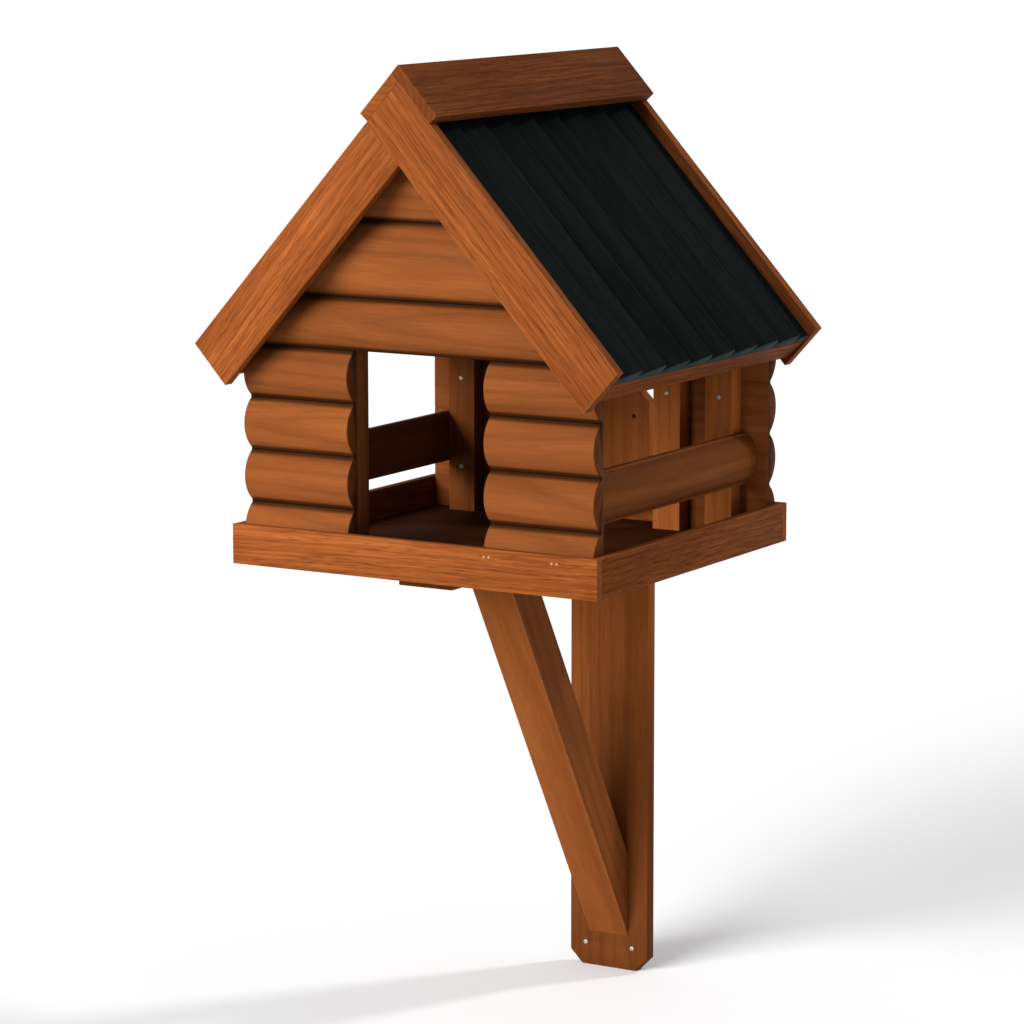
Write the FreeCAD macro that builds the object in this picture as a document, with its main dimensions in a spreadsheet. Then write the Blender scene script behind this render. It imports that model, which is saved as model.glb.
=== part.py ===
import FreeCAD, Part
import Sketcher
import os

# A log-cabin bird table on a wall bracket.
# Millimetres. X runs along the gable front, Y runs back to the wall, Z is up.
# The origin is on the wall plane, midway between the upper wall holes and the foot screws.

document = FreeCAD.newDocument("BirdTable")
sheet = document.addObject("Spreadsheet::Sheet", "Sheet")

drivingSizes = {
    # tray
    "tray_width": 402.0,         # outside, along X
    "tray_depth": 382.5,         # outside, along Y, up to the backboard
    "rim_height": 38.6,
    "rim_thick": 8.3,
    "floor_thick": 8.5,
    "rim_top": 203.5,            # rim's upper edge above the wall mount
    "seat_gap": 0.3,             # clearance where a round side meets a flat one
    # log walls
    "log_height": 50.7,
    "log_thick": 19.0,
    "log_round": 12.0,           # how far the round side stands out of the flat body
    "log_shoulder": 1.6,         # step from the flat body's edge in to the round side
    "door_width": 150.0,
    "log_tail": 29.2,            # wall end beyond the corner post
    "gable_log_height": 73.5,
    "heel_height": 13.8,         # upright end of the wall above the stub logs
    "stub_count": 4,
    # posts
    "post_width": 30.0,
    "post_depth": 19.0,
    # roof
    "roof_pitch": 47.8,
    "barge_width": 51.5,
    "barge_thick": 12.0,
    "front_overhang": 17.0,      # barge face in front of the tray
    "board_pitch": 45.5,
    "board_thin": 5.0,
    "board_thick": 14.5,
    "deck_drop": 5.9,            # thick edge of a roof board below the barge's outer edge
    "ridge_clear": 0.5,          # joint between the two decks at the ridge
    "board_gap": 0.3,
    "cap_width": 62.0,           # along the outer face, from its own top corner
    "cap_thick": 10.5,
    "batten_height": 25.0,
    "batten_thick": 7.0,
    "ridge_beam_width": 20.0,
    "ridge_beam_height": 26.0,
    # bracket
    "board_width": 90.2,
    "board_depth": 13.5,
    "board_foot": 504.4,         # below the rim's upper edge
    "board_head": 102.4,         # above the rim's upper edge
    "board_chamfer": 13.9,
    "fix_spacing": 54.6,         # fixings, across
    "fix_above": 74.0,           # open wall holes above the rim's upper edge
    "fix_below": 481.0,          # foot screws below it
    "fix_hole": 5.0,
    "arm_width": 60.0,
    "arm_thick": 10.0,
    "arm_setback": 27.0,         # arm's front end behind the tray's front
    "brace_width": 45.5,
    "brace_depth": 43.8,
    "brace_angle": 30.4,         # from upright
    "brace_foot": 35.9,          # brace's lower end above the board's lower end
    # fasteners
    "screw_hole": 3.0,
    "screw_shank": 2.6,
    "screw_length": 14.0,
    "screw_head": 4.8,
    "screw_head_height": 1.0,
    "screw_low": 45.6,           # above the floor
    "screw_high": 137.0,
    "nail_hole": 2.0,
    "nail_shank": 1.7,
    "nail_head": 2.6,
    "nail_head_height": 0.4,
    "nail_drop": 7.3,            # below the rim's upper edge
    "nail_pair": 5.4,            # between the two nails of a pair
    "nail_outer": 156.0,         # pair's place from the middle
    "nail_inner": 83.3,
}

for row, (alias, size) in enumerate(drivingSizes.items(), start=1):
    sheet.set("A%d" % row, alias)
    sheet.set("B%d" % row, str(size))
    sheet.setAlias("B%d" % row, alias)
document.recompute()

# Places worked out from the driving sizes, as expressions.
floorTop = "(Sheet.rim_top - Sheet.rim_height + Sheet.floor_thick)"
rimFoot = "(Sheet.rim_top - Sheet.rim_height)"
boardFront = "(-Sheet.board_depth)"
trayFront = "(-Sheet.board_depth - Sheet.tray_depth)"
trayInnerHalf = "(Sheet.tray_width / 2 - Sheet.rim_thick)"
wallHalf = "(Sheet.tray_width / 2 - Sheet.rim_thick - Sheet.seat_gap)"
doorHalf = "(Sheet.door_width / 2)"
cornerOuter = f"({wallHalf} - Sheet.log_tail)"
wallSetback = "(Sheet.rim_thick + Sheet.seat_gap)"
trayMiddle = "(-Sheet.board_depth - Sheet.tray_depth / 2)"
wallInnerHalf = f"(Sheet.tray_depth / 2 - {wallSetback} - Sheet.log_thick)"
stubTop = f"({floorTop} + Sheet.stub_count * Sheet.log_height)"
slopeCos = "cos(Sheet.roof_pitch * 1deg)"
slopeSin = "sin(Sheet.roof_pitch * 1deg)"
slopeTan = "tan(Sheet.roof_pitch * 1deg)"
endSkew = "(cos(2 * Sheet.roof_pitch * 1deg) / sin(2 * Sheet.roof_pitch * 1deg))"
deckDepth = "(Sheet.deck_drop + Sheet.board_thick)"
gableTop = f"({stubTop} + Sheet.heel_height + {wallHalf} * {slopeTan})"
bargeTop = f"({gableTop} + {deckDepth} / {slopeCos})"
battenLower = f"({deckDepth} + Sheet.batten_height)"
battenInner = f"(({wallHalf} + Sheet.seat_gap + {battenLower} * {slopeSin}) / {slopeCos})"
eaveEnd = f"({battenInner} + Sheet.batten_thick)"
bargeFront = f"({trayFront} - Sheet.front_overhang)"
deckFront = f"({bargeFront} + Sheet.barge_thick)"
deckBack = "(-Sheet.barge_thick)"
ridgeEnd = f"({deckDepth} * {slopeTan} + Sheet.ridge_clear)"
postTop = f"({stubTop} + Sheet.heel_height + Sheet.log_tail * {slopeTan} - Sheet.seat_gap)"

subParts = []


def number(expression):
    """The value of an expression, as a plain float."""
    found = sheet.evalExpression(expression.replace("Sheet.", ""))
    return float(getattr(found, "Value", found))


def newBody(label):
    """An empty body that becomes one sub-part."""
    body = document.addObject("PartDesign::Body", label)
    body.Label = label
    subParts.append(body)
    return body


def placeBody(body, x="0", y="0", z="0", turnAxis=None, turn="0"):
    """Bind a body's placement to the sheet."""
    if turnAxis is not None:
        body.Placement.Rotation = FreeCAD.Rotation(turnAxis, number(turn))
        body.setExpression(".Placement.Rotation.Angle", turn)
    for axisName, expression in (("x", x), ("y", y), ("z", z)):
        body.setExpression(".Placement.Base." + axisName, expression)


def newSketch(body, plane, offset="0"):
    """A sketch on one of the body's own origin planes, moved along the plane's normal."""
    sketch = body.newObject("Sketcher::SketchObject", body.Label + "_sketch")
    support = [feature for feature in body.Origin.OriginFeatures if feature.Role == plane][0]
    sketch.AttachmentSupport = [(support, "")]
    sketch.MapMode = "FlatFace"
    sketch.setExpression(".AttachmentOffset.Base.z", offset)
    return sketch


def pinPoint(sketch, geometry, end, across, up):
    """Hold one sketch point at two bound distances from the sketch origin."""
    for kind, expression in (("DistanceX", across), ("DistanceY", up)):
        constraint = Sketcher.Constraint(kind, -1, 1, geometry, end, number(expression))
        index = sketch.addConstraint(constraint)
        sketch.setExpression("Constraints[%d]" % index, expression)


def addOutline(sketch, corners):
    """A closed outline of straight lines through bound corners."""
    points = [FreeCAD.Vector(number(across), number(up), 0) for across, up in corners]
    lines = []
    for index, start in enumerate(points):
        finish = points[(index + 1) % len(points)]
        lines.append(sketch.addGeometry(Part.LineSegment(start, finish), False))
    for index, line in enumerate(lines):
        follower = lines[(index + 1) % len(lines)]
        sketch.addConstraint(Sketcher.Constraint("Coincident", line, 2, follower, 1))
        pinPoint(sketch, line, 1, *corners[index])


def addCircle(sketch, across, up, diameter):
    """A bound circle."""
    centre = FreeCAD.Vector(number(across), number(up), 0)
    circle = Part.Circle(centre, FreeCAD.Vector(0, 0, 1), number(diameter) / 2)
    geometry = sketch.addGeometry(circle, False)
    pinPoint(sketch, geometry, 3, across, up)
    index = sketch.addConstraint(Sketcher.Constraint("Diameter", geometry, number(diameter)))
    sketch.setExpression("Constraints[%d]" % index, diameter)


def addPad(body, sketch, length, backwards=False):
    """Extrude a sketch by a bound length."""
    pad = body.newObject("PartDesign::Pad", body.Label + "_pad")
    pad.Profile = sketch
    pad.Reversed = backwards
    pad.setExpression("Length", length)
    document.recompute()
    return pad


def addPocket(body, sketch, length, backwards=False):
    """Cut a sketch into the body by a bound length, and see that it really cuts."""
    before = body.Shape.Volume
    pocket = body.newObject("PartDesign::Pocket", body.Label + "_pocket")
    pocket.Profile = sketch
    pocket.Reversed = backwards
    pocket.setExpression("Length", length)
    document.recompute()
    if body.Shape.Volume >= before:
        raise RuntimeError("the cut in %s takes nothing away" % body.Label)
    return pocket


def plank(label, xFrom, xTo, yFrom, yTo, zFrom, zTo):
    """A square-edged board between bound planes."""
    body = newBody(label)
    sketch = newSketch(body, "XY_Plane", zFrom)
    addOutline(sketch, [(xFrom, yFrom), (xTo, yFrom), (xTo, yTo), (xFrom, yTo)])
    addPad(body, sketch, f"{zTo} - {zFrom}")
    return body


def addLogSection(sketch, flatAt, outward, low, height):
    """A log's section: a flat body and, between shoulders, a round side towards `outward` (+1 or -1)."""
    cusp = f"({flatAt} + {outward} * (Sheet.log_thick - Sheet.log_round))"
    high = f"({low} + {height})"
    corners = [
        (cusp, f"({low} + Sheet.log_shoulder)"),
        (cusp, low),
        (flatAt, low),
        (flatAt, high),
        (cusp, high),
        (cusp, f"({high} - Sheet.log_shoulder)"),
    ]
    points = [FreeCAD.Vector(number(across), number(up), 0) for across, up in corners]
    lines = []
    for start, finish in zip(points, points[1:]):
        lines.append(sketch.addGeometry(Part.LineSegment(start, finish), False))
    crown = FreeCAD.Vector(
        number(flatAt) + outward * number("Sheet.log_thick"),
        number(low) + number(height) / 2,
        0,
    )
    if outward > 0:
        arc = sketch.addGeometry(Part.Arc(points[0], crown, points[-1]), False)
        arcEnds = (1, 2)
    else:
        arc = sketch.addGeometry(Part.Arc(points[-1], crown, points[0]), False)
        arcEnds = (2, 1)
    for line, follower in zip(lines, lines[1:]):
        sketch.addConstraint(Sketcher.Constraint("Coincident", line, 2, follower, 1))
    sketch.addConstraint(Sketcher.Constraint("Coincident", arc, arcEnds[0], lines[0], 1))
    sketch.addConstraint(Sketcher.Constraint("Coincident", arc, arcEnds[1], lines[-1], 2))
    for line, corner in zip(lines, corners):
        pinPoint(sketch, line, 1, *corner)
    pinPoint(sketch, lines[-1], 2, *corners[-1])
    chord = f"({height} - 2 * Sheet.log_shoulder)"
    radius = f"({chord} * {chord} / 4 + Sheet.log_round * Sheet.log_round) / (2 * Sheet.log_round)"
    index = sketch.addConstraint(Sketcher.Constraint("Radius", arc, number(radius)))
    sketch.setExpression("Constraints[%d]" % index, radius)


# The two gable walls: the round side looks out of the cabin.
walls = {
    "front": {"outward": -1, "flatAt": f"({trayMiddle} - {wallInnerHalf})"},
    "back": {"outward": 1, "flatAt": f"({trayMiddle} + {wallInnerHalf})"},
}
sides = {"left": -1, "right": 1}


def stubLogs():
    """The short logs beside each doorway."""
    for wallName, wall in walls.items():
        for sideName, side in sides.items():
            xFrom = f"-{wallHalf}" if side < 0 else doorHalf
            for course in range(int(number("Sheet.stub_count"))):
                body = newBody("%s_log_%s_%d" % (wallName, sideName, course + 1))
                sketch = newSketch(body, "YZ_Plane", xFrom)
                low = f"({floorTop} + {course} * Sheet.log_height)"
                addLogSection(sketch, wall["flatAt"], wall["outward"], low, "Sheet.log_height")
                addPad(body, sketch, f"{wallHalf} - {doorHalf}")


def cutToSlopes(body, wall):
    """Trim a gable log's ends to the plane that the roof boards lie on."""
    margin = "(Sheet.barge_width)"
    reach = f"({wallHalf} + {margin})"
    sketch = newSketch(body, "XZ_Plane", f"-({wall['flatAt']}) + Sheet.log_thick + {margin}")
    lowAt = f"({gableTop} - {reach} * {slopeTan})"
    ridge = ("0", gableTop)
    leftFoot = (f"-{reach}", lowAt)
    rightFoot = (reach, lowAt)
    topRight = (reach, f"({gableTop} + {margin})")
    topLeft = (f"-{reach}", f"({gableTop} + {margin})")
    addOutline(sketch, [leftFoot, ridge, rightFoot, topRight, topLeft])
    addPocket(body, sketch, f"2 * (Sheet.log_thick + {margin})")


def gableLogs():
    """The logs above the doorway, up to the ridge beam, on both walls."""
    gableLow = f"({stubTop} + Sheet.log_height)"
    peakLow = f"({gableLow} + Sheet.gable_log_height)"
    peakHeight = f"({gableTop} - Sheet.ridge_beam_height - {peakLow})"
    for wallName, wall in walls.items():
        for name, low, height in (
            ("lintel_log", stubTop, "Sheet.log_height"),
            ("gable_log", gableLow, "Sheet.gable_log_height"),
            ("peak_log", peakLow, peakHeight),
        ):
            body = newBody("%s_%s" % (wallName, name))
            sketch = newSketch(body, "YZ_Plane", f"-{wallHalf}")
            addLogSection(sketch, wall["flatAt"], wall["outward"], low, height)
            addPad(body, sketch, f"2 * {wallHalf}")
            cutToSlopes(body, wall)


def sideRails():
    """One log across each side opening, outside the corner posts."""
    low = f"({floorTop} + Sheet.log_height)"
    for sideName, side in sides.items():
        body = newBody("side_rail_" + sideName)
        sketch = newSketch(body, "XZ_Plane", f"-({walls['back']['flatAt']})")
        addLogSection(sketch, f"({side} * {cornerOuter})", side, low, "Sheet.log_height")
        addPad(body, sketch, f"2 * {wallInnerHalf}")


# Screws hold each post to the logs, from inside the cabin.
screwHeights = [f"({floorTop} + Sheet.screw_low)", f"({floorTop} + Sheet.screw_high)"]
postMiddles = {
    "corner": f"({cornerOuter} - Sheet.post_width / 2)",
    "jamb": f"({doorHalf} + Sheet.post_width / 2)",
}


def posts():
    """The upright battens behind the log ends, each with two blind screw holes."""
    for wallName, wall in walls.items():
        outward = wall["outward"]
        inner = f"({wall['flatAt']} - {outward} * Sheet.post_depth)"
        yFrom, yTo = (wall["flatAt"], inner) if outward < 0 else (inner, wall["flatAt"])
        for postName, middle in postMiddles.items():
            for sideName, side in sides.items():
                xFrom = f"({side} * {middle} - Sheet.post_width / 2)"
                xTo = f"({side} * {middle} + Sheet.post_width / 2)"
                label = "%s_%s_post_%s" % (wallName, postName, sideName)
                body = plank(label, xFrom, xTo, yFrom, yTo, floorTop, postTop)
                holes = newSketch(body, "XZ_Plane", f"-{inner}")
                for screwHeight in screwHeights:
                    addCircle(holes, f"({side} * {middle})", screwHeight, "Sheet.screw_hole")
                depth = "(Sheet.screw_length + Sheet.seat_gap)"
                addPocket(body, holes, depth, backwards=outward < 0)


def fastenerGroup(label, faceAt, outward, places, headWidth, headHeight, shankWidth, shankLength):
    """Equal round fasteners on one face; the heads stand out towards `outward` (+1 or -1 in Y)."""
    body = newBody(label)
    body.AllowCompound = True
    for width, length, backwards in (
        (headWidth, headHeight, outward > 0),
        (shankWidth, shankLength, outward < 0),
    ):
        sketch = newSketch(body, "XZ_Plane", f"-({faceAt})")
        for across, up in places:
            addCircle(sketch, across, up, width)
        addPad(body, sketch, length, backwards)


def postScrews():
    """The screws in the four posts of each wall."""
    for wallName, wall in walls.items():
        outward = -wall["outward"]
        inner = f"({wall['flatAt']} + {outward} * Sheet.post_depth)"
        places = []
        for middle in postMiddles.values():
            for side in sides.values():
                for screwHeight in screwHeights:
                    places.append((f"({side} * {middle})", screwHeight))
        fastenerGroup(
            wallName + "_post_screws", inner, outward, places,
            "Sheet.screw_head", "Sheet.screw_head_height",
            "Sheet.screw_shank", "Sheet.screw_length",
        )


# Two pairs of nails hold the front rim, both to the right of the doorway.
nailPlaces = []
for nailSpot in ("Sheet.nail_outer", "Sheet.nail_inner"):
    for nailStep in (-1, 1):
        nailX = f"({nailSpot} + {nailStep} * Sheet.nail_pair / 2)"
        nailPlaces.append((nailX, "(Sheet.rim_top - Sheet.nail_drop)"))


def tray():
    """The floor and the four rim boards round it; the front rim is nailed."""
    half = "(Sheet.tray_width / 2)"
    innerFront = f"({trayFront} + Sheet.rim_thick)"
    innerBack = f"({boardFront} - Sheet.rim_thick)"
    low, high = rimFoot, "Sheet.rim_top"
    front = plank("rim_front", f"-{half}", half, trayFront, innerFront, low, high)
    holes = newSketch(front, "XZ_Plane", f"-{trayFront}")
    for across, up in nailPlaces:
        addCircle(holes, across, up, "Sheet.nail_hole")
    addPocket(front, holes, "Sheet.rim_thick")
    fastenerGroup(
        "rim_nails", trayFront, -1, nailPlaces,
        "Sheet.nail_head", "Sheet.nail_head_height",
        "Sheet.nail_shank", "Sheet.rim_thick",
    )
    plank("rim_back", f"-{half}", half, innerBack, boardFront, low, high)
    plank("rim_left", f"-{half}", f"-{trayInnerHalf}", innerFront, innerBack, low, high)
    plank("rim_right", trayInnerHalf, half, innerFront, innerBack, low, high)
    plank("tray_floor", f"-{trayInnerHalf}", trayInnerHalf, innerFront, innerBack, low, floorTop)


def bracket():
    """The backboard with its wall holes and foot screws, the arm and the slanting brace."""
    half = "(Sheet.board_width / 2)"
    low = "(Sheet.rim_top - Sheet.board_foot)"
    high = "(Sheet.rim_top + Sheet.board_head)"
    shoulder = f"({half} - Sheet.board_chamfer)"
    board = newBody("backboard")
    outline = newSketch(board, "XZ_Plane", "0")
    addOutline(outline, [
        (f"-{shoulder}", low),
        (shoulder, low),
        (half, f"({low} + Sheet.board_chamfer)"),
        (half, f"({high} - Sheet.board_chamfer)"),
        (shoulder, high),
        (f"-{shoulder}", high),
        (f"-{half}", f"({high} - Sheet.board_chamfer)"),
        (f"-{half}", f"({low} + Sheet.board_chamfer)"),
    ])
    addPad(board, outline, "Sheet.board_depth")
    holes = newSketch(board, "XZ_Plane", "Sheet.board_depth")
    screwPlaces = []
    for side in sides.values():
        across = f"({side} * Sheet.fix_spacing / 2)"
        footHeight = "(Sheet.rim_top - Sheet.fix_below)"
        addCircle(holes, across, "(Sheet.rim_top + Sheet.fix_above)", "Sheet.fix_hole")
        addCircle(holes, across, footHeight, "Sheet.screw_hole")
        screwPlaces.append((across, footHeight))
    addPocket(board, holes, "Sheet.board_depth")
    fastenerGroup(
        "foot_screws", boardFront, -1, screwPlaces,
        "Sheet.screw_head", "Sheet.screw_head_height",
        "Sheet.screw_shank", "Sheet.board_depth",
    )

    armHalf = "(Sheet.arm_width / 2)"
    armFront = f"({trayFront} + Sheet.arm_setback)"
    armFoot = f"({rimFoot} - Sheet.arm_thick)"
    plank("arm", f"-{armHalf}", armHalf, armFront, boardFront, armFoot, rimFoot)

    brace = newBody("brace")
    outline = newSketch(brace, "YZ_Plane", "-Sheet.brace_width / 2")
    lean = "tan(Sheet.brace_angle * 1deg)"
    footLow = f"({low} + Sheet.brace_foot)"
    footHigh = f"({footLow} + Sheet.brace_depth / sin(Sheet.brace_angle * 1deg))"
    addOutline(outline, [
        (boardFront, footLow),
        (boardFront, footHigh),
        (f"({boardFront} - ({armFoot} - {footHigh}) * {lean})", armFoot),
        (f"({boardFront} - ({armFoot} - {footLow}) * {lean})", armFoot),
    ])
    addPad(brace, outline, "Sheet.brace_width")


def placeOnSlope(body, side):
    """Turn a body drawn flat so that its X runs down one slope from the barge's top corner."""
    turnAxis = FreeCAD.Vector(0, 1, 0)
    placeBody(body, z=bargeTop, turnAxis=turnAxis, turn=f"{side} * Sheet.roof_pitch")


def slopeOutline(sketch, side, corners):
    """An outline given as distances down the slope and above the barge's outer edge."""
    addOutline(sketch, [(f"({side} * {along})", up) for along, up in corners])


def roofBoards():
    """Feather-edged boards side by side down each slope, thin edge to the front."""
    span = number(f"{deckBack} - {deckFront}")
    pitch = number("Sheet.board_pitch")
    fullBoards = int(span / pitch)
    under = f"(-{deckDepth})"
    for sideName, side in sides.items():
        body = newBody("roof_boards_" + sideName)
        body.AllowCompound = True
        startAt = ridgeEnd if side > 0 else f"-{eaveEnd}"
        sketch = newSketch(body, "YZ_Plane", startAt)
        for index in range(fullBoards + 1):
            yFrom = f"({deckFront} + {index} * Sheet.board_pitch)"
            yTo = f"({yFrom} + Sheet.board_pitch - Sheet.board_gap)"
            if index == fullBoards:
                yTo = deckBack
            width = f"({yTo} - {yFrom})"
            rise = f"((Sheet.board_thick - Sheet.board_thin) * {width} / Sheet.board_pitch)"
            addOutline(sketch, [
                (yFrom, under),
                (yTo, under),
                (yTo, f"({under} + Sheet.board_thin + {rise})"),
                (yFrom, f"({under} + Sheet.board_thin)"),
            ])
        addPad(body, sketch, f"{eaveEnd} - {ridgeEnd}")
        placeOnSlope(body, side)


def bargeBoards():
    """A pair of boards on each gable; the right one runs to the top, the left one butts under it."""
    meet = "(Sheet.barge_width / sin(2 * Sheet.roof_pitch * 1deg))"
    for wallName, backFace in (("front", deckFront), ("back", "0")):
        for sideName, side in sides.items():
            top = "0" if side > 0 else meet
            body = newBody("%s_barge_%s" % (wallName, sideName))
            sketch = newSketch(body, "XZ_Plane", f"-({backFace})")
            slopeOutline(sketch, side, [
                (top, "0"),
                (eaveEnd, "0"),
                (f"({eaveEnd} - Sheet.barge_width * {endSkew})", "-Sheet.barge_width"),
                (f"({top} - Sheet.barge_width * {endSkew})", "-Sheet.barge_width"),
            ])
            addPad(body, sketch, "Sheet.barge_thick")
            placeOnSlope(body, side)


def ridgeCaps():
    """Two boards over the ridge; the right one covers the left one's upper edge."""
    for sideName, side in sides.items():
        lowerTop = "(-Sheet.cap_thick / sin(2 * Sheet.roof_pitch * 1deg))" if side > 0 else "0"
        capEnd = f"(Sheet.cap_width - Sheet.cap_thick * {slopeTan})"
        body = newBody("ridge_cap_" + sideName)
        sketch = newSketch(body, "XZ_Plane", "0")
        slopeOutline(sketch, side, [
            (lowerTop, "0"),
            (capEnd, "0"),
            (capEnd, "Sheet.cap_thick"),
            (f"({lowerTop} + Sheet.cap_thick * {endSkew})", "Sheet.cap_thick"),
        ])
        addPad(body, sketch, f"-({bargeFront})")
        placeOnSlope(body, side)


def roofBattens():
    """The batten under the board ends at each eave, and the bevelled beam under the ridge."""
    length = f"{deckBack} - {deckFront}"
    for sideName, side in sides.items():
        body = newBody("eave_batten_" + sideName)
        sketch = newSketch(body, "XZ_Plane", f"-{deckBack}")
        slopeOutline(sketch, side, [
            (battenInner, f"-{deckDepth}"),
            (eaveEnd, f"-{deckDepth}"),
            (eaveEnd, f"-{battenLower}"),
            (battenInner, f"-{battenLower}"),
        ])
        addPad(body, sketch, length)
        placeOnSlope(body, side)

    beam = newBody("ridge_beam")
    sketch = newSketch(beam, "XZ_Plane", f"-{deckBack}")
    half = "(Sheet.ridge_beam_width / 2)"
    foot = f"({gableTop} - Sheet.ridge_beam_height)"
    bevel = f"({gableTop} - {half} * {slopeTan})"
    addOutline(sketch, [(f"-{half}", foot), (half, foot), (half, bevel), ("0", gableTop), (f"-{half}", bevel)])
    addPad(beam, sketch, length)


def exportParts():
    """Check every object and write one STEP file for each sub-part."""
    document.recompute()
    for item in document.Objects:
        if "Invalid" in item.State or "Error" in item.State:
            raise RuntimeError("%s did not build" % item.Label)
    os.makedirs("parts", exist_ok=True)
    for body in subParts:
        shape = body.Shape
        if shape.isNull() or not shape.isValid() or shape.Volume <= 0:
            raise RuntimeError("%s has no sound solid" % body.Label)
        shape.exportStep("parts/%s.step" % body.Label)
        print("%s: %d solid(s), %.1f cm3" % (body.Label, len(shape.Solids), shape.Volume / 1000))


tray()
stubLogs()
gableLogs()
posts()
postScrews()
sideRails()
roofBattens()
roofBoards()
bargeBoards()
ridgeCaps()
bracket()
exportParts()
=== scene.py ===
import math
import random

import bmesh
import bpy
from mathutils import Matrix, Vector


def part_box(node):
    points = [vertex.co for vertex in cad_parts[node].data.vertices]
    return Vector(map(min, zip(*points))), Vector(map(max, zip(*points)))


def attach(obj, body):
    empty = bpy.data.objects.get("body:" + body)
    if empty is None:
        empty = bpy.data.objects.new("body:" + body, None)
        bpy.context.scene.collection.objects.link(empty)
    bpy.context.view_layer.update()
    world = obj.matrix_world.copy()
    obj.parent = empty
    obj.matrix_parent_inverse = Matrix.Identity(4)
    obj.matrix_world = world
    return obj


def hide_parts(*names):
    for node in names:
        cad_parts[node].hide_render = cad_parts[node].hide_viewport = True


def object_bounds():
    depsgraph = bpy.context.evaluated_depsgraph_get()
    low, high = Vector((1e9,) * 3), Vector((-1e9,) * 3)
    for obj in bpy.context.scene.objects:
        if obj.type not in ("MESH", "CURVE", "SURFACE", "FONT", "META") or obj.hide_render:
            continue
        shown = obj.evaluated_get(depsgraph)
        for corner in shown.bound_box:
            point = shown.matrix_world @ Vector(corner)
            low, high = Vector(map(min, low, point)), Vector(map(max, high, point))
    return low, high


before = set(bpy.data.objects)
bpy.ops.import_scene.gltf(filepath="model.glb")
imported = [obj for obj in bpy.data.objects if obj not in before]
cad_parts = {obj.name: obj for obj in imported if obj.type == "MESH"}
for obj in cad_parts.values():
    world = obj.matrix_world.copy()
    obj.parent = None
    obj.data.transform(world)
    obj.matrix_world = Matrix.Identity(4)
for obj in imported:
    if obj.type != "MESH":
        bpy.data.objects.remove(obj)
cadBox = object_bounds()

# A log-cabin bird table on a wall bracket. Metres; +Y runs back to the wall, Z is up.
scene = bpy.context.scene
scene.view_settings.view_transform = "Standard"
bpy.ops.object.select_all(action="DESELECT")


camera = {
    "turn": 30.69,      # degrees round to the right of the gable front
    "rise": 9.31,       # degrees above level
    "roll": -0.07,
    "lens": 140.2,
    "sensor": 36.0,
    "place": (1.9587, -3.5091, 0.8340),
}
studio = {
    "floorSize": 300.0,
    "floorColour": (0.80, 0.80, 0.80, 1.0),
    "floorRoughness": 0.9,
    "skyStrength": 0.48,
    "keyPower": 5.0,    # from the front, low and a little to the left
    "keyRise": 22.0,
    "keyTurn": -103.0,
    "keySoftness": 36.0,
    "rimPower": 1.1,    # from behind, to the right
    "rimRise": 40.0,
    "rimTurn": 54.0,
    "rimSoftness": 7.0,
}


def addCamera():
    bpy.ops.object.camera_add()
    viewer = bpy.context.object
    viewer.name = "camera"
    viewer.data.lens = camera["lens"]
    viewer.data.sensor_width = camera["sensor"]
    turn = Matrix.Rotation(math.radians(camera["turn"]), 4, "Z")
    tilt = Matrix.Rotation(math.radians(90.0 - camera["rise"]), 4, "X")
    roll = Matrix.Rotation(math.radians(camera["roll"]), 4, "Z")
    viewer.matrix_world = Matrix.Translation(camera["place"]) @ turn @ tilt @ roll
    scene.camera = viewer


def addSun(name, power, turn, rise, softness):
    flat, up = math.radians(turn), math.radians(rise)
    towards = Vector((
        math.cos(flat) * math.cos(up), math.sin(flat) * math.cos(up), math.sin(up),
    ))
    bpy.ops.object.light_add(type="SUN")
    sun = bpy.context.object
    sun.name = name
    sun.rotation_euler = towards.to_track_quat("Z", "Y").to_euler()
    sun.data.energy = power
    sun.data.angle = math.radians(softness)


def addStudio():
    bpy.ops.mesh.primitive_plane_add(size=studio["floorSize"], location=(0, 0, cadBox[0][2]))
    floor = bpy.context.object
    floor.name = "floor"
    paper = bpy.data.materials.new("studioPaper")
    paper.use_nodes = True
    shader = paper.node_tree.nodes["Principled BSDF"]
    shader.inputs["Base Color"].default_value = studio["floorColour"]
    shader.inputs["Roughness"].default_value = studio["floorRoughness"]
    shader.inputs["Specular IOR Level"].default_value = 0.0
    floor.data.materials.append(paper)
    world = bpy.data.worlds.new("studioSky")
    world.use_nodes = True
    sky = world.node_tree.nodes["Background"]
    sky.inputs["Color"].default_value = (1.0, 1.0, 1.0, 1.0)
    sky.inputs["Strength"].default_value = studio["skyStrength"]
    scene.world = world
    for lamp in ("key", "rim"):
        addSun(
            lamp + "Light", studio[lamp + "Power"], studio[lamp + "Turn"], studio[lamp + "Rise"],
            studio[lamp + "Softness"],
        )


def addNode(tree, kind, sockets=None, **settings):
    node = tree.nodes.new(kind)
    for setting, value in settings.items():
        setattr(node, setting, value)
    for socketName, value in (sockets or {}).items():
        socket = node.inputs[socketName]
        if isinstance(value, bpy.types.NodeSocket):
            tree.links.new(value, socket)
        else:
            socket.default_value = value
    return node


def addMath(tree, operation, first, second=0.0, third=0.0):
    sockets = {0: first, 1: second, 2: third}
    return addNode(tree, "ShaderNodeMath", sockets, operation=operation).outputs[0]


def addVector(tree, operation, sockets):
    node = addNode(tree, "ShaderNodeVectorMath", sockets, operation=operation)
    return node.outputs["Value" if operation == "LENGTH" else "Vector"]


def addStretch(tree, vector, stretch):
    return addNode(tree, "ShaderNodeMapping", {"Vector": vector, "Scale": stretch}).outputs["Vector"]


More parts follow.
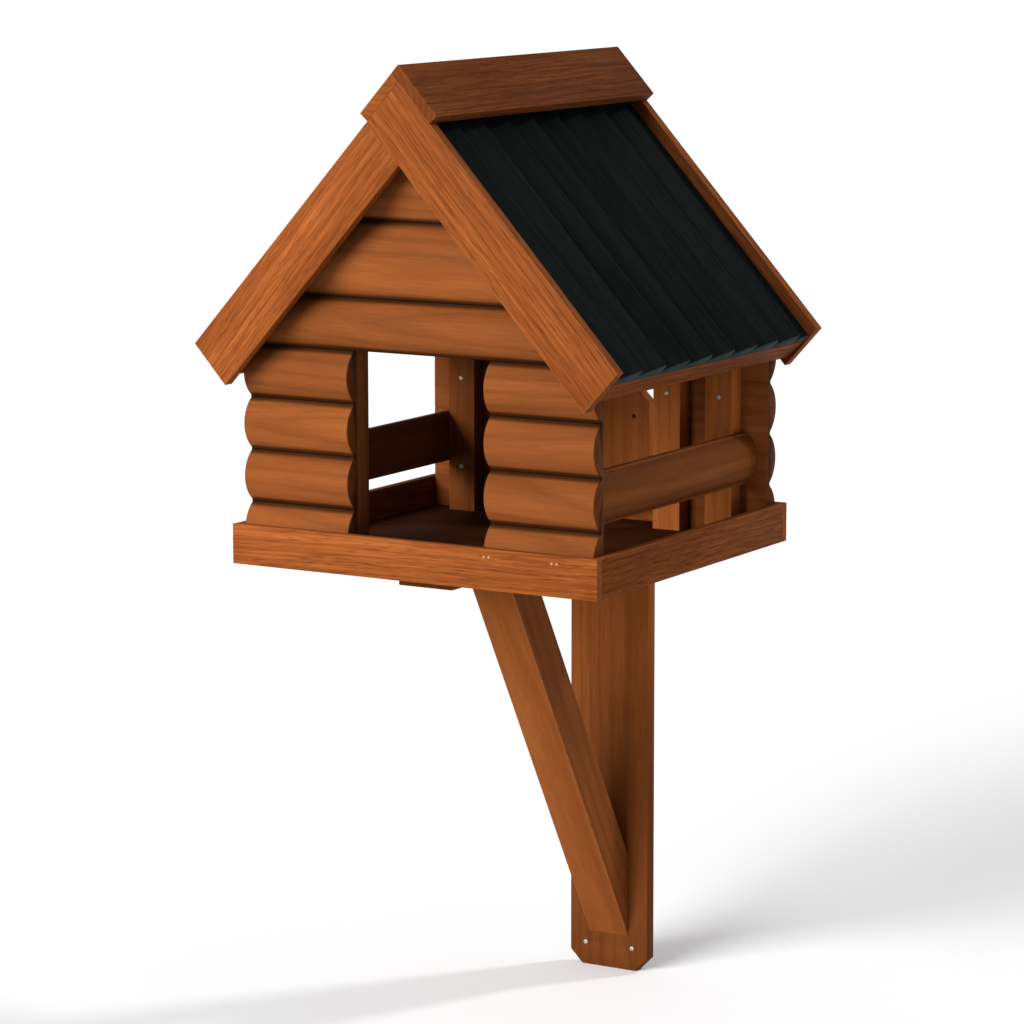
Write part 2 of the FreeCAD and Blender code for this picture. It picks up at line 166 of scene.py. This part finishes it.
def addRamp(tree, value, stops):
    node = addNode(tree, "ShaderNodeValToRGB", {"Fac": value})
    ramp = node.color_ramp
    while len(ramp.elements) < len(stops):
        ramp.elements.new(0.5)
    for element, (place, colour) in zip(ramp.elements, stops):
        element.position = place
        element.color = (*colour, 1.0)
    return node.outputs["Color"]


def addGreyRamp(tree, value, stops):
    return addRamp(tree, value, [(place, (level, level, level)) for place, level in stops])


def addMix(tree, amount, first, second):
    # a colour mix: its amount is socket 0, and its two colours are sockets 6 and 7
    sockets = {0: amount, 6: first, 7: second}
    return addNode(tree, "ShaderNodeMix", sockets, data_type="RGBA").outputs[2]


# Every timber piece carries four attributes: grain (its own place in the log, in metres, with X along
# the fibres), tone (how light its stain came out, times the painted light and shade set per piece and
# per part), edge (1 on its arrises, rubbed lighter, and on the roof boards a painted highlight) and end
# (1 on end grain). A stretch says how fast a pattern changes along the fibres and across them.
timberFigure = {
    "wanderStretch": (2.2, 9.0, 9.0),
    "wanderReach": 0.016,
    "yearScale": 0.6,
    "ringStops": ((0.0, 0.45), (0.12, 0.0), (0.55, 0.12), (0.88, 1.0), (1.0, 0.45)),
    "fibreStretch": (14.0, 520.0, 520.0),
    "fibreStops": ((0.32, 0.0), (0.68, 1.0)),
    "poreStretch": (46.0, 900.0, 900.0),
    "poreStops": ((0.56, 0.0), (0.70, 1.0)),
    "patchStretch": (5.0, 34.0, 34.0),
    "patchPlaces": (0.30, 0.70),
    "cutFibres": -0.8,      # fibres and pores hardly show where they are cut across
    "rubAndHighlightScale": 120.0,
    "rubAndHighlightStops": ((0.30, 0.35), (0.70, 0.90)),
    "fibreRoughness": 0.10,
    "patchRoughness": 0.08,
    "ringHeight": -0.4,
    "fibreHeight": -0.6,
    "poreHeight": -0.8,
    "reliefDepth": 0.0004,
}
boardStain = {
    "dark": (0.075, 0.0170, 0.0038),
    "middle": (0.237, 0.0622, 0.0128),
    "light": (0.358, 0.0985, 0.0216),
    "rubbedAndHighlight": (0.520, 0.1700, 0.0450),
    "rubAndHighlightDepth": 0.50,
    "ringWidth": 0.0065,
    "ringWarp": 3.2,
    "ringDepth": 0.32,
    "poreDepth": 0.60,
    "fibreDepth": 0.60,
    "roughness": 0.52,
    "gloss": 0.022,
    "bump": 0.30,
}
bracketStain = {
    "dark": (0.095, 0.0240, 0.0058),
    "middle": (0.180, 0.0510, 0.0110),
    "light": (0.240, 0.0700, 0.0157),
    "rubbedAndHighlight": (0.420, 0.1400, 0.0380),
    "rubAndHighlightDepth": 0.75,
    "ringWidth": 0.0110,
    "ringWarp": 3.4,
    "ringDepth": 0.34,
    "poreDepth": 0.32,
    "fibreDepth": 0.30,
    "roughness": 0.52,
    "gloss": 0.022,
    "bump": 0.20,
}
logStain = {
    "dark": (0.080, 0.0215, 0.0048),
    "middle": (0.165, 0.0470, 0.0110),
    "light": (0.230, 0.0680, 0.0165),
    "rubbedAndHighlight": (0.300, 0.1000, 0.0260),
    "rubAndHighlightDepth": 0.30,
    "ringWidth": 0.0125,
    "ringWarp": 3.0,
    "ringDepth": 0.34,
    "poreDepth": 0.20,
    "fibreDepth": 0.26,
    "roughness": 0.50,
    "gloss": 0.022,
    "bump": 0.15,
}
roofStain = {
    "dark": (0.0012, 0.0018, 0.0017),
    "middle": (0.0036, 0.0054, 0.0052),
    "light": (0.0080, 0.0112, 0.0108),
    # on the roof boards the rubbed arris colour is a painted highlight along each board's arrises
    "rubbedAndHighlight": (0.0330, 0.0430, 0.0450),
    "rubAndHighlightDepth": 0.90,
    "ringWidth": 0.0060,
    "ringWarp": 2.5,
    "ringDepth": 0.25,
    "poreDepth": 0.35,
    "fibreDepth": 0.50,
    "roughness": 0.55,
    "gloss": 0.012,
    "bump": 0.45,
}


def makeTimber(name, stain):
    material = bpy.data.materials.new(name)
    material.use_nodes = True
    tree = material.node_tree
    shader = tree.nodes["Principled BSDF"]
    grain = addNode(tree, "ShaderNodeAttribute", attribute_name="grain").outputs["Vector"]
    toneAndShade, edge, end = (
        addNode(tree, "ShaderNodeAttribute", attribute_name=mark).outputs["Fac"]
        for mark in ("toneAndShade", "edge", "end")
    )

    # growth rings round the heart of the log, wandering a little along it
    slow = addStretch(tree, grain, timberFigure["wanderStretch"])
    wander = addNode(tree, "ShaderNodeTexNoise", {"Vector": slow, "Scale": 1.0, "Detail": 2.0})
    centred = addVector(tree, "SUBTRACT", {0: wander.outputs["Color"], 1: (0.5, 0.5, 0.5)})
    shift = addVector(tree, "SCALE", {0: centred, "Scale": timberFigure["wanderReach"]})
    bent = addVector(tree, "ADD", {0: grain, 1: shift})
    radius = addVector(tree, "LENGTH", {0: addStretch(tree, bent, (0.0, 1.0, 1.0))})
    years = addMath(tree, "DIVIDE", radius, stain["ringWidth"])
    yearNoise = addNode(
        tree, "ShaderNodeTexNoise", {"Vector": slow, "Scale": timberFigure["yearScale"], "Detail": 3.0}
    ).outputs["Fac"]
    years = addMath(tree, "MULTIPLY_ADD", yearNoise, stain["ringWarp"], years)
    lateWood = addGreyRamp(tree, addMath(tree, "FRACT", years), timberFigure["ringStops"])

    # fibres and pores are long and thin along the log
    fine = addStretch(tree, bent, timberFigure["fibreStretch"])
    fibres = addNode(
        tree, "ShaderNodeTexNoise", {"Vector": fine, "Scale": 1.0, "Detail": 4.0, "Roughness": 0.6}
    ).outputs["Fac"]
    fibreShade = addGreyRamp(tree, fibres, timberFigure["fibreStops"])
    short = addStretch(tree, bent, timberFigure["poreStretch"])
    pores = addNode(
        tree, "ShaderNodeTexNoise", {"Vector": short, "Scale": 1.0, "Detail": 1.0}
    ).outputs["Fac"]
    poreShade = addGreyRamp(tree, pores, timberFigure["poreStops"])
    whole = addMath(tree, "MULTIPLY_ADD", end, timberFigure["cutFibres"], 1.0)
    fibreShade = addMath(tree, "MULTIPLY", fibreShade, whole)
    poreShade = addMath(tree, "MULTIPLY", poreShade, whole)

    # stain: the broad patches set the ground, then fibres, rings and pores darken it
    broad = addStretch(tree, grain, timberFigure["patchStretch"])
    patches = addNode(
        tree, "ShaderNodeTexNoise", {"Vector": broad, "Scale": 1.0, "Detail": 2.0}
    ).outputs["Fac"]
    grounds = (stain["middle"], stain["light"])
    colour = addRamp(tree, patches, list(zip(timberFigure["patchPlaces"], grounds)))
    darkStain = (*stain["dark"], 1.0)
    for shade, depth in ((fibreShade, "fibreDepth"), (lateWood, "ringDepth"), (poreShade, "poreDepth")):
        colour = addMix(tree, addMath(tree, "MULTIPLY", shade, stain[depth]), colour, darkStain)

    # each piece took the stain a little differently, and the tone also carries painted light and shade;
    # rubbed arrises show the stain thinner, and on the roof boards that lighter arris is a painted
    # highlight
    colour = addVector(tree, "SCALE", {0: colour, "Scale": toneAndShade})
    rubAndHighlightNoise = addNode(
        tree, "ShaderNodeTexNoise", {"Vector": grain, "Scale": timberFigure["rubAndHighlightScale"], "Detail": 3.0}
    ).outputs["Fac"]
    wornAndHighlight = addMath(tree, "MULTIPLY", edge, addGreyRamp(tree, rubAndHighlightNoise, timberFigure["rubAndHighlightStops"]))
    wornAndHighlight = addMath(tree, "MULTIPLY", wornAndHighlight, addMath(tree, "MINIMUM", toneAndShade, 1.0))
    wornAndHighlight = addMath(tree, "MULTIPLY", wornAndHighlight, stain["rubAndHighlightDepth"])
    colour = addMix(tree, wornAndHighlight, colour, (*stain["rubbedAndHighlight"], 1.0))
    tree.links.new(colour, shader.inputs["Base Color"])

    rough = addMath(tree, "MULTIPLY_ADD", fibreShade, timberFigure["fibreRoughness"], stain["roughness"])
    rough = addMath(tree, "MULTIPLY_ADD", patches, timberFigure["patchRoughness"], rough)
    tree.links.new(rough, shader.inputs["Roughness"])
    shader.inputs["Specular IOR Level"].default_value = stain["gloss"]
    height = addMath(tree, "MULTIPLY", fibreShade, timberFigure["fibreHeight"])
    height = addMath(tree, "MULTIPLY_ADD", lateWood, timberFigure["ringHeight"], height)
    height = addMath(tree, "MULTIPLY_ADD", poreShade, timberFigure["poreHeight"], height)
    relief = {"Height": height, "Strength": stain["bump"], "Distance": timberFigure["reliefDepth"]}
    tree.links.new(addNode(tree, "ShaderNodeBump", relief).outputs["Normal"], shader.inputs["Normal"])
    return material


zincPlate = {
    "bright": (0.50, 0.47, 0.43),
    "dull": (0.22, 0.19, 0.16),
    "roughness": 0.42,
    "metallic": 0.75,
    "gloss": 0.5,
}
stainedNail = {
    "bright": (0.42, 0.22, 0.12),
    "dull": (0.26, 0.11, 0.05),
    "roughness": 0.65,
    "metallic": 0.0,
    "gloss": 0.2,
}
metalCloud = {"scale": 900.0, "places": (0.35, 0.75), "roughness": 0.2, "bump": 0.1, "depth": 0.0001}


def makeMetal(name, metal):
    material = bpy.data.materials.new(name)
    material.use_nodes = True
    tree = material.node_tree
    shader = tree.nodes["Principled BSDF"]
    place = addNode(tree, "ShaderNodeTexCoord").outputs["Object"]
    cloud = addNode(
        tree, "ShaderNodeTexNoise", {"Vector": place, "Scale": metalCloud["scale"], "Detail": 3.0}
    ).outputs["Fac"]
    colour = addRamp(tree, cloud, list(zip(metalCloud["places"], (metal["bright"], metal["dull"]))))
    tree.links.new(colour, shader.inputs["Base Color"])
    rough = addMath(tree, "MULTIPLY_ADD", cloud, metalCloud["roughness"], metal["roughness"])
    tree.links.new(rough, shader.inputs["Roughness"])
    shader.inputs["Metallic"].default_value = metal["metallic"]
    shader.inputs["Specular IOR Level"].default_value = metal["gloss"]
    relief = {"Height": cloud, "Strength": metalCloud["bump"], "Distance": metalCloud["depth"]}
    tree.links.new(addNode(tree, "ShaderNodeBump", relief).outputs["Normal"], shader.inputs["Normal"])
    return material


addCamera()
addStudio()
boardTimber = makeTimber("boardTimber", boardStain)
bracketTimber = makeTimber("bracketTimber", bracketStain)
logTimber = makeTimber("logTimber", logStain)
roofTimber = makeTimber("roofTimber", roofStain)
zinc = makeMetal("zincPlate", zincPlate)
nailMetal = makeMetal("stainedNail", stainedNail)
print("camera, studio and finishes ready")


joinery = {
    "weld": 0.00001,
    "flatAngle": 1.0,
    "arrisAngle": 35.0,
    "arrisSteps": 2,
    "smoothAngle": 40.0,
    "arrisFace": 1.4,       # a face narrower than this many arris widths belongs to an arris
    "facing": 0.6,          # how squarely a face has to look one way to count as looking that way
}


def selectOnly(piece):
    bpy.ops.object.select_all(action="DESELECT")
    piece.select_set(True)
    bpy.context.view_layer.objects.active = piece


# each timber piece is a merged copy of its node with eased arrises
def copyNode(nodeName, pieceName):
    selectOnly(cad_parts[nodeName])
    bpy.ops.object.duplicate(linked=False)
    piece = bpy.context.object
    piece.name = pieceName
    piece.data.name = pieceName
    piece.data.materials.clear()
    bpy.ops.object.mode_set(mode="EDIT")
    bpy.ops.mesh.select_all(action="SELECT")
    bpy.ops.mesh.remove_doubles(threshold=joinery["weld"])
    bpy.ops.mesh.dissolve_limited(angle_limit=math.radians(joinery["flatAngle"]))
    bpy.ops.object.mode_set(mode="OBJECT")
    return piece


def easeArrises(piece, width):
    bevel = piece.modifiers.new("arris", "BEVEL")
    bevel.width = width
    bevel.segments = joinery["arrisSteps"]
    bevel.limit_method = "ANGLE"
    bevel.angle_limit = math.radians(joinery["arrisAngle"])
    bpy.ops.object.modifier_apply(modifier=bevel.name)
    bpy.ops.object.shade_smooth_by_angle(angle=math.radians(joinery["smoothAngle"]))


def looseIslands(mesh):
    shell = bmesh.new()
    shell.from_mesh(mesh)
    shell.verts.ensure_lookup_table()
    islands, seen = [], set()
    for start in shell.verts:
        if start.index in seen:
            continue
        island, queue = [], [start]
        seen.add(start.index)
        while queue:
            corner = queue.pop()
            island.append(corner.index)
            for edge in corner.link_edges:
                other = edge.other_vert(corner)
                if other.index not in seen:
                    seen.add(other.index)
                    queue.append(other)
        islands.append(island)
    shell.free()
    return islands


def fibreDirection(mesh):
    # the fibres run along the piece's longest edge
    spans = [mesh.vertices[edge.vertices[1]].co - mesh.vertices[edge.vertices[0]].co for edge in mesh.edges]
    along = max(spans, key=lambda span: span.length).normalized()
    return along if max(along, key=abs) > 0 else -along


def markGrain(piece, along, look):
    # heart: how far each piece was cut from the middle of its log; lean: how far off the log's line
    mesh = piece.data
    grain, toneAndShade = mesh.attributes["grain"], mesh.attributes["toneAndShade"]
    across = along.cross(Vector((0.31, 0.87, 0.38))).normalized()
    outward = along.cross(across)
    for island in looseIslands(mesh):
        places = [mesh.vertices[index].co for index in island]
        middle = sum(places, Vector()) / len(places)
        turn = random.uniform(0.0, math.tau)
        away = look["heart"] * random.uniform(0.7, 1.3)
        start = Vector((random.uniform(0.0, 40.0), away * math.cos(turn), away * math.sin(turn)))
        leanAcross = look["lean"] * random.uniform(-1.0, 1.0)
        leanOutward = look["lean"] * random.uniform(-1.0, 1.0)
        islandTone = 1.0 + look["toneSpread"] * random.uniform(-1.0, 1.0)
        for index in island:
            offset = mesh.vertices[index].co - middle
            run = offset.dot(along)
            grain.data[index].vector = start + Vector(
                (run, offset.dot(across) + leanAcross * run, offset.dot(outward) + leanOutward * run)
            )
            toneAndShade.data[index].value = islandTone


def markEdges(piece, arris):
    # the middle line of each eased arris touches only the arris's own narrow faces
    mesh = piece.data
    edge = mesh.attributes["edge"]
    widest = [0.0] * len(mesh.vertices)
    for face in mesh.polygons:
        corners = [mesh.vertices[index].co for index in face.vertices]
        lengths = [(corners[index] - corners[index - 1]).length for index in range(len(corners))]
        narrow = min(lengths) if len(lengths) == 4 else face.area ** 0.5
        for index in face.vertices:
            widest[index] = max(widest[index], narrow)
    for index, width in enumerate(widest):
        edge.data[index].value = 1.0 if width < joinery["arrisFace"] * arris else 0.0


def scaleTone(piece, indices, factor):
    toneAndShade = piece.data.attributes["toneAndShade"]
    for index in indices:
        toneAndShade.data[index].value *= factor


def cornersWhere(piece, test):
    return {index for face in piece.data.polygons if test(face.normal) for index in face.vertices}


def markEnds(piece, along, factor):
    # end grain takes the stain unlike the faces; the much lighter eave ends of the roof boards are painted
    # light
    ends = cornersWhere(piece, lambda normal: abs(normal.dot(along)) > joinery["facing"])
    scaleTone(piece, ends, factor)
    end = piece.data.attributes["end"]
    for index in ends:
        end.data[index].value = 1.0


def shadeInside(piece, nodeName, factor):
    # painted shade: the barge's face turned to the roof boards is darkened, as it stands in shade
    inward = 1.0 if nodeName.startswith("front") else -1.0
    scaleTone(piece, cornersWhere(piece, lambda normal: normal.y * inward > joinery["facing"]), factor)


def shadeUpwards(piece, nodeName, stages):
    # painted light and shade up a tall board: darkest at the foot and below the tray, where less light
    # reaches, and lighter towards the top; each stage is a height from 0 to 1 and its tone
    low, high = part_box(nodeName)
    selectOnly(piece)
    bpy.ops.object.mode_set(mode="EDIT")
    for rise, factor in stages[1:-1]:
        bpy.ops.mesh.select_all(action="SELECT")
        height = low[2] + (high[2] - low[2]) * rise
        bpy.ops.mesh.bisect(plane_co=(0.0, 0.0, height), plane_no=(0.0, 0.0, 1.0))
    bpy.ops.object.mode_set(mode="OBJECT")
    for corner in piece.data.vertices:
        rise = (corner.co.z - low[2]) / (high[2] - low[2])
        for (lower, lowerTone), (upper, upperTone) in zip(stages, stages[1:]):
            if rise <= upper:
                break
        share = (rise - lower) / (upper - lower)
        scaleTone(piece, [corner.index], lowerTone + (upperTone - lowerTone) * share)


def shadeSeams(piece, nodeName, look):
    # painted shade darkens the round side in the crease where two logs meet, and leaves the flat back alone
    low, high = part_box(nodeName)
    flatBack = high[1] if nodeName.startswith("front") else low[1]
    for corner in piece.data.vertices:
        if abs(corner.co.y - flatBack) > look["seamBack"]:
            near = min(corner.co.z - low[2], high[2] - corner.co.z) / look["seamReach"]
            clear = min(near, 1.0) ** 2
            scaleTone(piece, [corner.index], look["seamShade"] + (1.0 - look["seamShade"]) * clear)


def closeJoints(piece, reach):
    # neighbouring boards lie tight together, so no daylight shows between them
    mesh = piece.data
    for island in looseIslands(mesh):
        rows = [mesh.vertices[index].co.y for index in island]
        middle = (min(rows) + max(rows)) / 2
        for index in island:
            corner = mesh.vertices[index].co
            corner.y += reach if corner.y > middle else -reach


def makeTimberPiece(nodeName, material, look):
    piece = copyNode(nodeName, nodeName + "_timber")
    along = fibreDirection(piece.data)
    easeArrises(piece, look["arris"])
    for name, kind in (("grain", "FLOAT_VECTOR"), ("toneAndShade", "FLOAT"), ("edge", "FLOAT"), ("end", "FLOAT")):
        piece.data.attributes.new(name, kind, "POINT")
    markGrain(piece, along, look)
    markEdges(piece, look["arris"])
    markEnds(piece, along, look["endTones"].get(nodeName, look["endTone"]))
    scaleTone(piece, range(len(piece.data.vertices)), look["paintedLightTones"].get(nodeName, 1.0))
    piece.data.materials.append(material)
    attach(piece, "root")
    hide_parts(nodeName)
    return piece


random.seed(7)
sawnBoards = {
    "nodes": [
        "rim_front", "rim_back", "rim_left", "rim_right", "tray_floor",
        "front_barge_left", "front_barge_right", "back_barge_left", "back_barge_right",
        "ridge_cap_left", "ridge_cap_right", "eave_batten_left", "eave_batten_right", "ridge_beam",
    ],
    "arris": 0.0008,
    "heart": 0.060,
    "lean": 0.030,
    "toneSpread": 0.03,
    # painted shade, one tone per piece: each listed piece is darkened by how little light reaches it, the
    # tray floor and ridge caps most
    "paintedLightTones": {
        "rim_front": 0.93, "rim_right": 0.66, "rim_left": 0.80, "tray_floor": 0.25,
        "front_barge_right": 0.80, "back_barge_right": 0.90,
        "ridge_cap_left": 0.60, "ridge_cap_right": 0.51,
        "eave_batten_left": 0.60, "eave_batten_right": 0.60,
    },
    "endTone": 0.75,
    # the ridge cap ends are lighter than other end grain, taking them partly back out of the painted shade
    # given to the whole cap
    "endTones": {"ridge_cap_left": 1.08, "ridge_cap_right": 0.80},
    # painted shade on the barges' faces turned to the roof boards
    "insideShade": 0.35,
}
for nodeName in sawnBoards["nodes"]:
    piece = makeTimberPiece(nodeName, boardTimber, sawnBoards)
    if "barge" in nodeName:
        shadeInside(piece, nodeName, sawnBoards["insideShade"])

bracket = {
    "nodes": ["backboard", "arm", "brace"],
    "arris": 0.0011,
    "heart": 0.060,
    "lean": 0.020,
    "toneSpread": 0.02,
    # painted shade: the arm under the tray is darkened by the tray's shade
    "paintedLightTones": {"arm": 0.68},
    "endTone": 0.65,
    "endTones": {},
    # painted shade low down and under the tray, painted light towards the top of the backboard
    "boardShadeStages": [
        (0.0, 0.52), (0.14, 0.61), (0.32, 0.66), (0.46, 0.84), (0.56, 1.15), (0.75, 1.45), (1.0, 1.85),
    ],
}
for nodeName in bracket["nodes"]:
    piece = makeTimberPiece(nodeName, bracketTimber, bracket)
    if nodeName == "backboard":
        shadeUpwards(piece, nodeName, bracket["boardShadeStages"])

cabinLogs = {
    "nodes": [
        "%s_log_%s_%d" % (wall, side, course)
        for wall in ("front", "back") for side in ("left", "right") for course in (1, 2, 3, 4)
    ] + [
        "%s_%s_log" % (wall, kind)
        for wall in ("front", "back") for kind in ("lintel", "gable", "peak")
    ],
    "arris": 0.0007,
    "heart": 0.045,
    "lean": 0.060,
    "toneSpread": 0.05,
    # painted light and shade: the left-hand front logs lightened, the lintel and right-hand logs darkened,
    # as the light falls off across the front
    "paintedLightTones": {
        "front_lintel_log": 0.86, "front_log_right_4": 0.88, "front_log_right_3": 0.95,
        "front_log_left_1": 1.08, "front_log_left_2": 1.08,
        "front_log_left_3": 1.12, "front_log_left_4": 1.05,
    },
    "endTone": 0.50,
    "endTones": {},
    # painted shade in the crease between logs: how far from the flat back, how far from the seam, how dark
    "seamBack": 0.0040,
    "seamReach": 0.0050,
    "seamShade": 0.06,
}
for nodeName in cabinLogs["nodes"]:
    piece = makeTimberPiece(nodeName, logTimber, cabinLogs)
    shadeSeams(piece, nodeName, cabinLogs)

sideRails = {
    "nodes": ["side_rail_left", "side_rail_right"],
    "arris": 0.0007,
    "heart": 0.045,
    "lean": 0.020,
    "toneSpread": 0.03,
    # painted shade: the side rails are darkened by how little light reaches them
    "paintedLightTones": {"side_rail_left": 0.82, "side_rail_right": 0.82},
    "endTone": 0.60,
    "endTones": {},
}
for nodeName in sideRails["nodes"]:
    makeTimberPiece(nodeName, logTimber, sideRails)

cabinPosts = {
    "nodes": [
        "%s_%s_post_%s" % (wall, kind, side)
        for wall in ("front", "back") for kind in ("corner", "jamb") for side in ("left", "right")
    ],
    "arris": 0.0007,
    "heart": 0.050,
    "lean": 0.030,
    "toneSpread": 0.03,
    # painted light and shade: the front posts darkened in the cabin's shade, the back right posts seen
    # through the side opening lightened
    "paintedLightTones": {
        "front_corner_post_left": 0.62, "front_corner_post_right": 0.62,
        "front_jamb_post_left": 0.62, "front_jamb_post_right": 0.62,
        "back_jamb_post_right": 2.10, "back_corner_post_right": 1.70,
    },
    "endTone": 0.60,
    "endTones": {},
}
for nodeName in cabinPosts["nodes"]:
    makeTimberPiece(nodeName, bracketTimber, cabinPosts)

roofBoards = {
    "nodes": ["roof_boards_left", "roof_boards_right"],
    "arris": 0.0018,
    "heart": 0.060,
    "lean": 0.030,
    "toneSpread": 0.20,
    "paintedLightTones": {},
    # painted light: the eave ends of the roof boards are made far lighter than their stain
    "endTone": 4.0,
    "endTones": {},
    "jointReach": 0.0002,
}
for nodeName in roofBoards["nodes"]:
    piece = makeTimberPiece(nodeName, roofTimber, roofBoards)
    closeJoints(piece, roofBoards["jointReach"])
print("timber ready")


def solidBoxes(nodeName):
    # the lowest and highest corners of each solid in a group of fasteners
    probe = copyNode(nodeName, "probe")
    boxes = []
    for island in looseIslands(probe.data):
        places = [probe.data.vertices[index].co for index in island]
        low = Vector([min(place[axis] for place in places) for axis in range(3)])
        high = Vector([max(place[axis] for place in places) for axis in range(3)])
        boxes.append((low, high))
    bpy.data.objects.remove(probe)
    return boxes


def makeDome(width, look):
    # a low domed head pointing up, its foot sunk into the timber
    bpy.ops.mesh.primitive_cylinder_add(
        vertices=look["facets"], radius=width / 2, depth=look["headHeight"] + look["sunk"],
        location=(0, 0, (look["headHeight"] - look["sunk"]) / 2),
    )
    head = bpy.context.object
    bevel = head.modifiers.new("dome", "BEVEL")
    bevel.width = look["headHeight"] * look["domeShare"]
    bevel.segments = look["domeSteps"]
    bevel.limit_method = "ANGLE"
    bpy.ops.object.modifier_apply(modifier=bevel.name)
    return head


def cutCross(head, look):
    slot = (look["recessWidth"], look["recessLength"])
    for wide, deep in (slot, slot[::-1]):
        bpy.ops.mesh.primitive_cube_add(size=1.0, location=(0, 0, look["headHeight"]))
        cutter = bpy.context.object
        cutter.scale = (wide, deep, 2 * look["recessDepth"])
        bpy.ops.object.transform_apply(location=True, rotation=True, scale=True)
        selectOnly(head)
        cut = head.modifiers.new("recess", "BOOLEAN")
        cut.operation = "DIFFERENCE"
        cut.object = cutter
        bpy.ops.object.modifier_apply(modifier=cut.name)
        bpy.data.objects.remove(cutter)


def placeFasteners(nodeName, look, metal, outward):
    # outward: -1 where the heads look to the front, 1 where they look to the wall
    boxes = solidBoxes(nodeName)
    low, high = boxes[0]
    pattern = makeDome(high.x - low.x, look)
    if "recessWidth" in look:
        cutCross(pattern, look)
    bpy.ops.object.shade_smooth_by_angle(angle=math.radians(look["smoothAngle"]))
    tilt = Matrix.Rotation(math.radians(-90.0 * outward), 4, "X")
    copies = []
    for low, high in boxes:
        selectOnly(pattern)
        bpy.ops.object.duplicate(linked=False)
        head = bpy.context.object
        faceAt = low.y + look["headHeight"] if outward < 0 else high.y - look["headHeight"]
        place = Vector(((low.x + high.x) / 2, faceAt, (low.z + high.z) / 2))
        spin = Matrix.Rotation(random.uniform(0.0, math.tau), 4, "Z")
        head.data.transform(Matrix.Translation(place) @ tilt @ spin)
        copies.append(head)
    bpy.data.objects.remove(pattern)
    selectOnly(copies[0])
    for head in copies[1:]:
        head.select_set(True)
    bpy.ops.object.join()
    group = bpy.context.object
    group.name = nodeName + "_zinc"
    group.data.name = group.name
    group.data.materials.append(metal)
    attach(group, "root")
    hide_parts(nodeName)


screws = {
    "headHeight": 0.0010,
    "sunk": 0.0010,
    "facets": 32,
    "domeShare": 0.8,
    "domeSteps": 3,
    "smoothAngle": 35.0,
    "recessWidth": 0.00055,
    "recessLength": 0.0026,
    "recessDepth": 0.0006,
}
nails = {
    "headHeight": 0.0004,
    "sunk": 0.0010,
    "facets": 20,
    "domeShare": 0.6,
    "domeSteps": 2,
    "smoothAngle": 35.0,
}
placeFasteners("front_post_screws", screws, zinc, 1)
placeFasteners("back_post_screws", screws, zinc, -1)
placeFasteners("foot_screws", screws, zinc, -1)
placeFasteners("rim_nails", nails, nailMetal, -1)
print("fasteners ready")
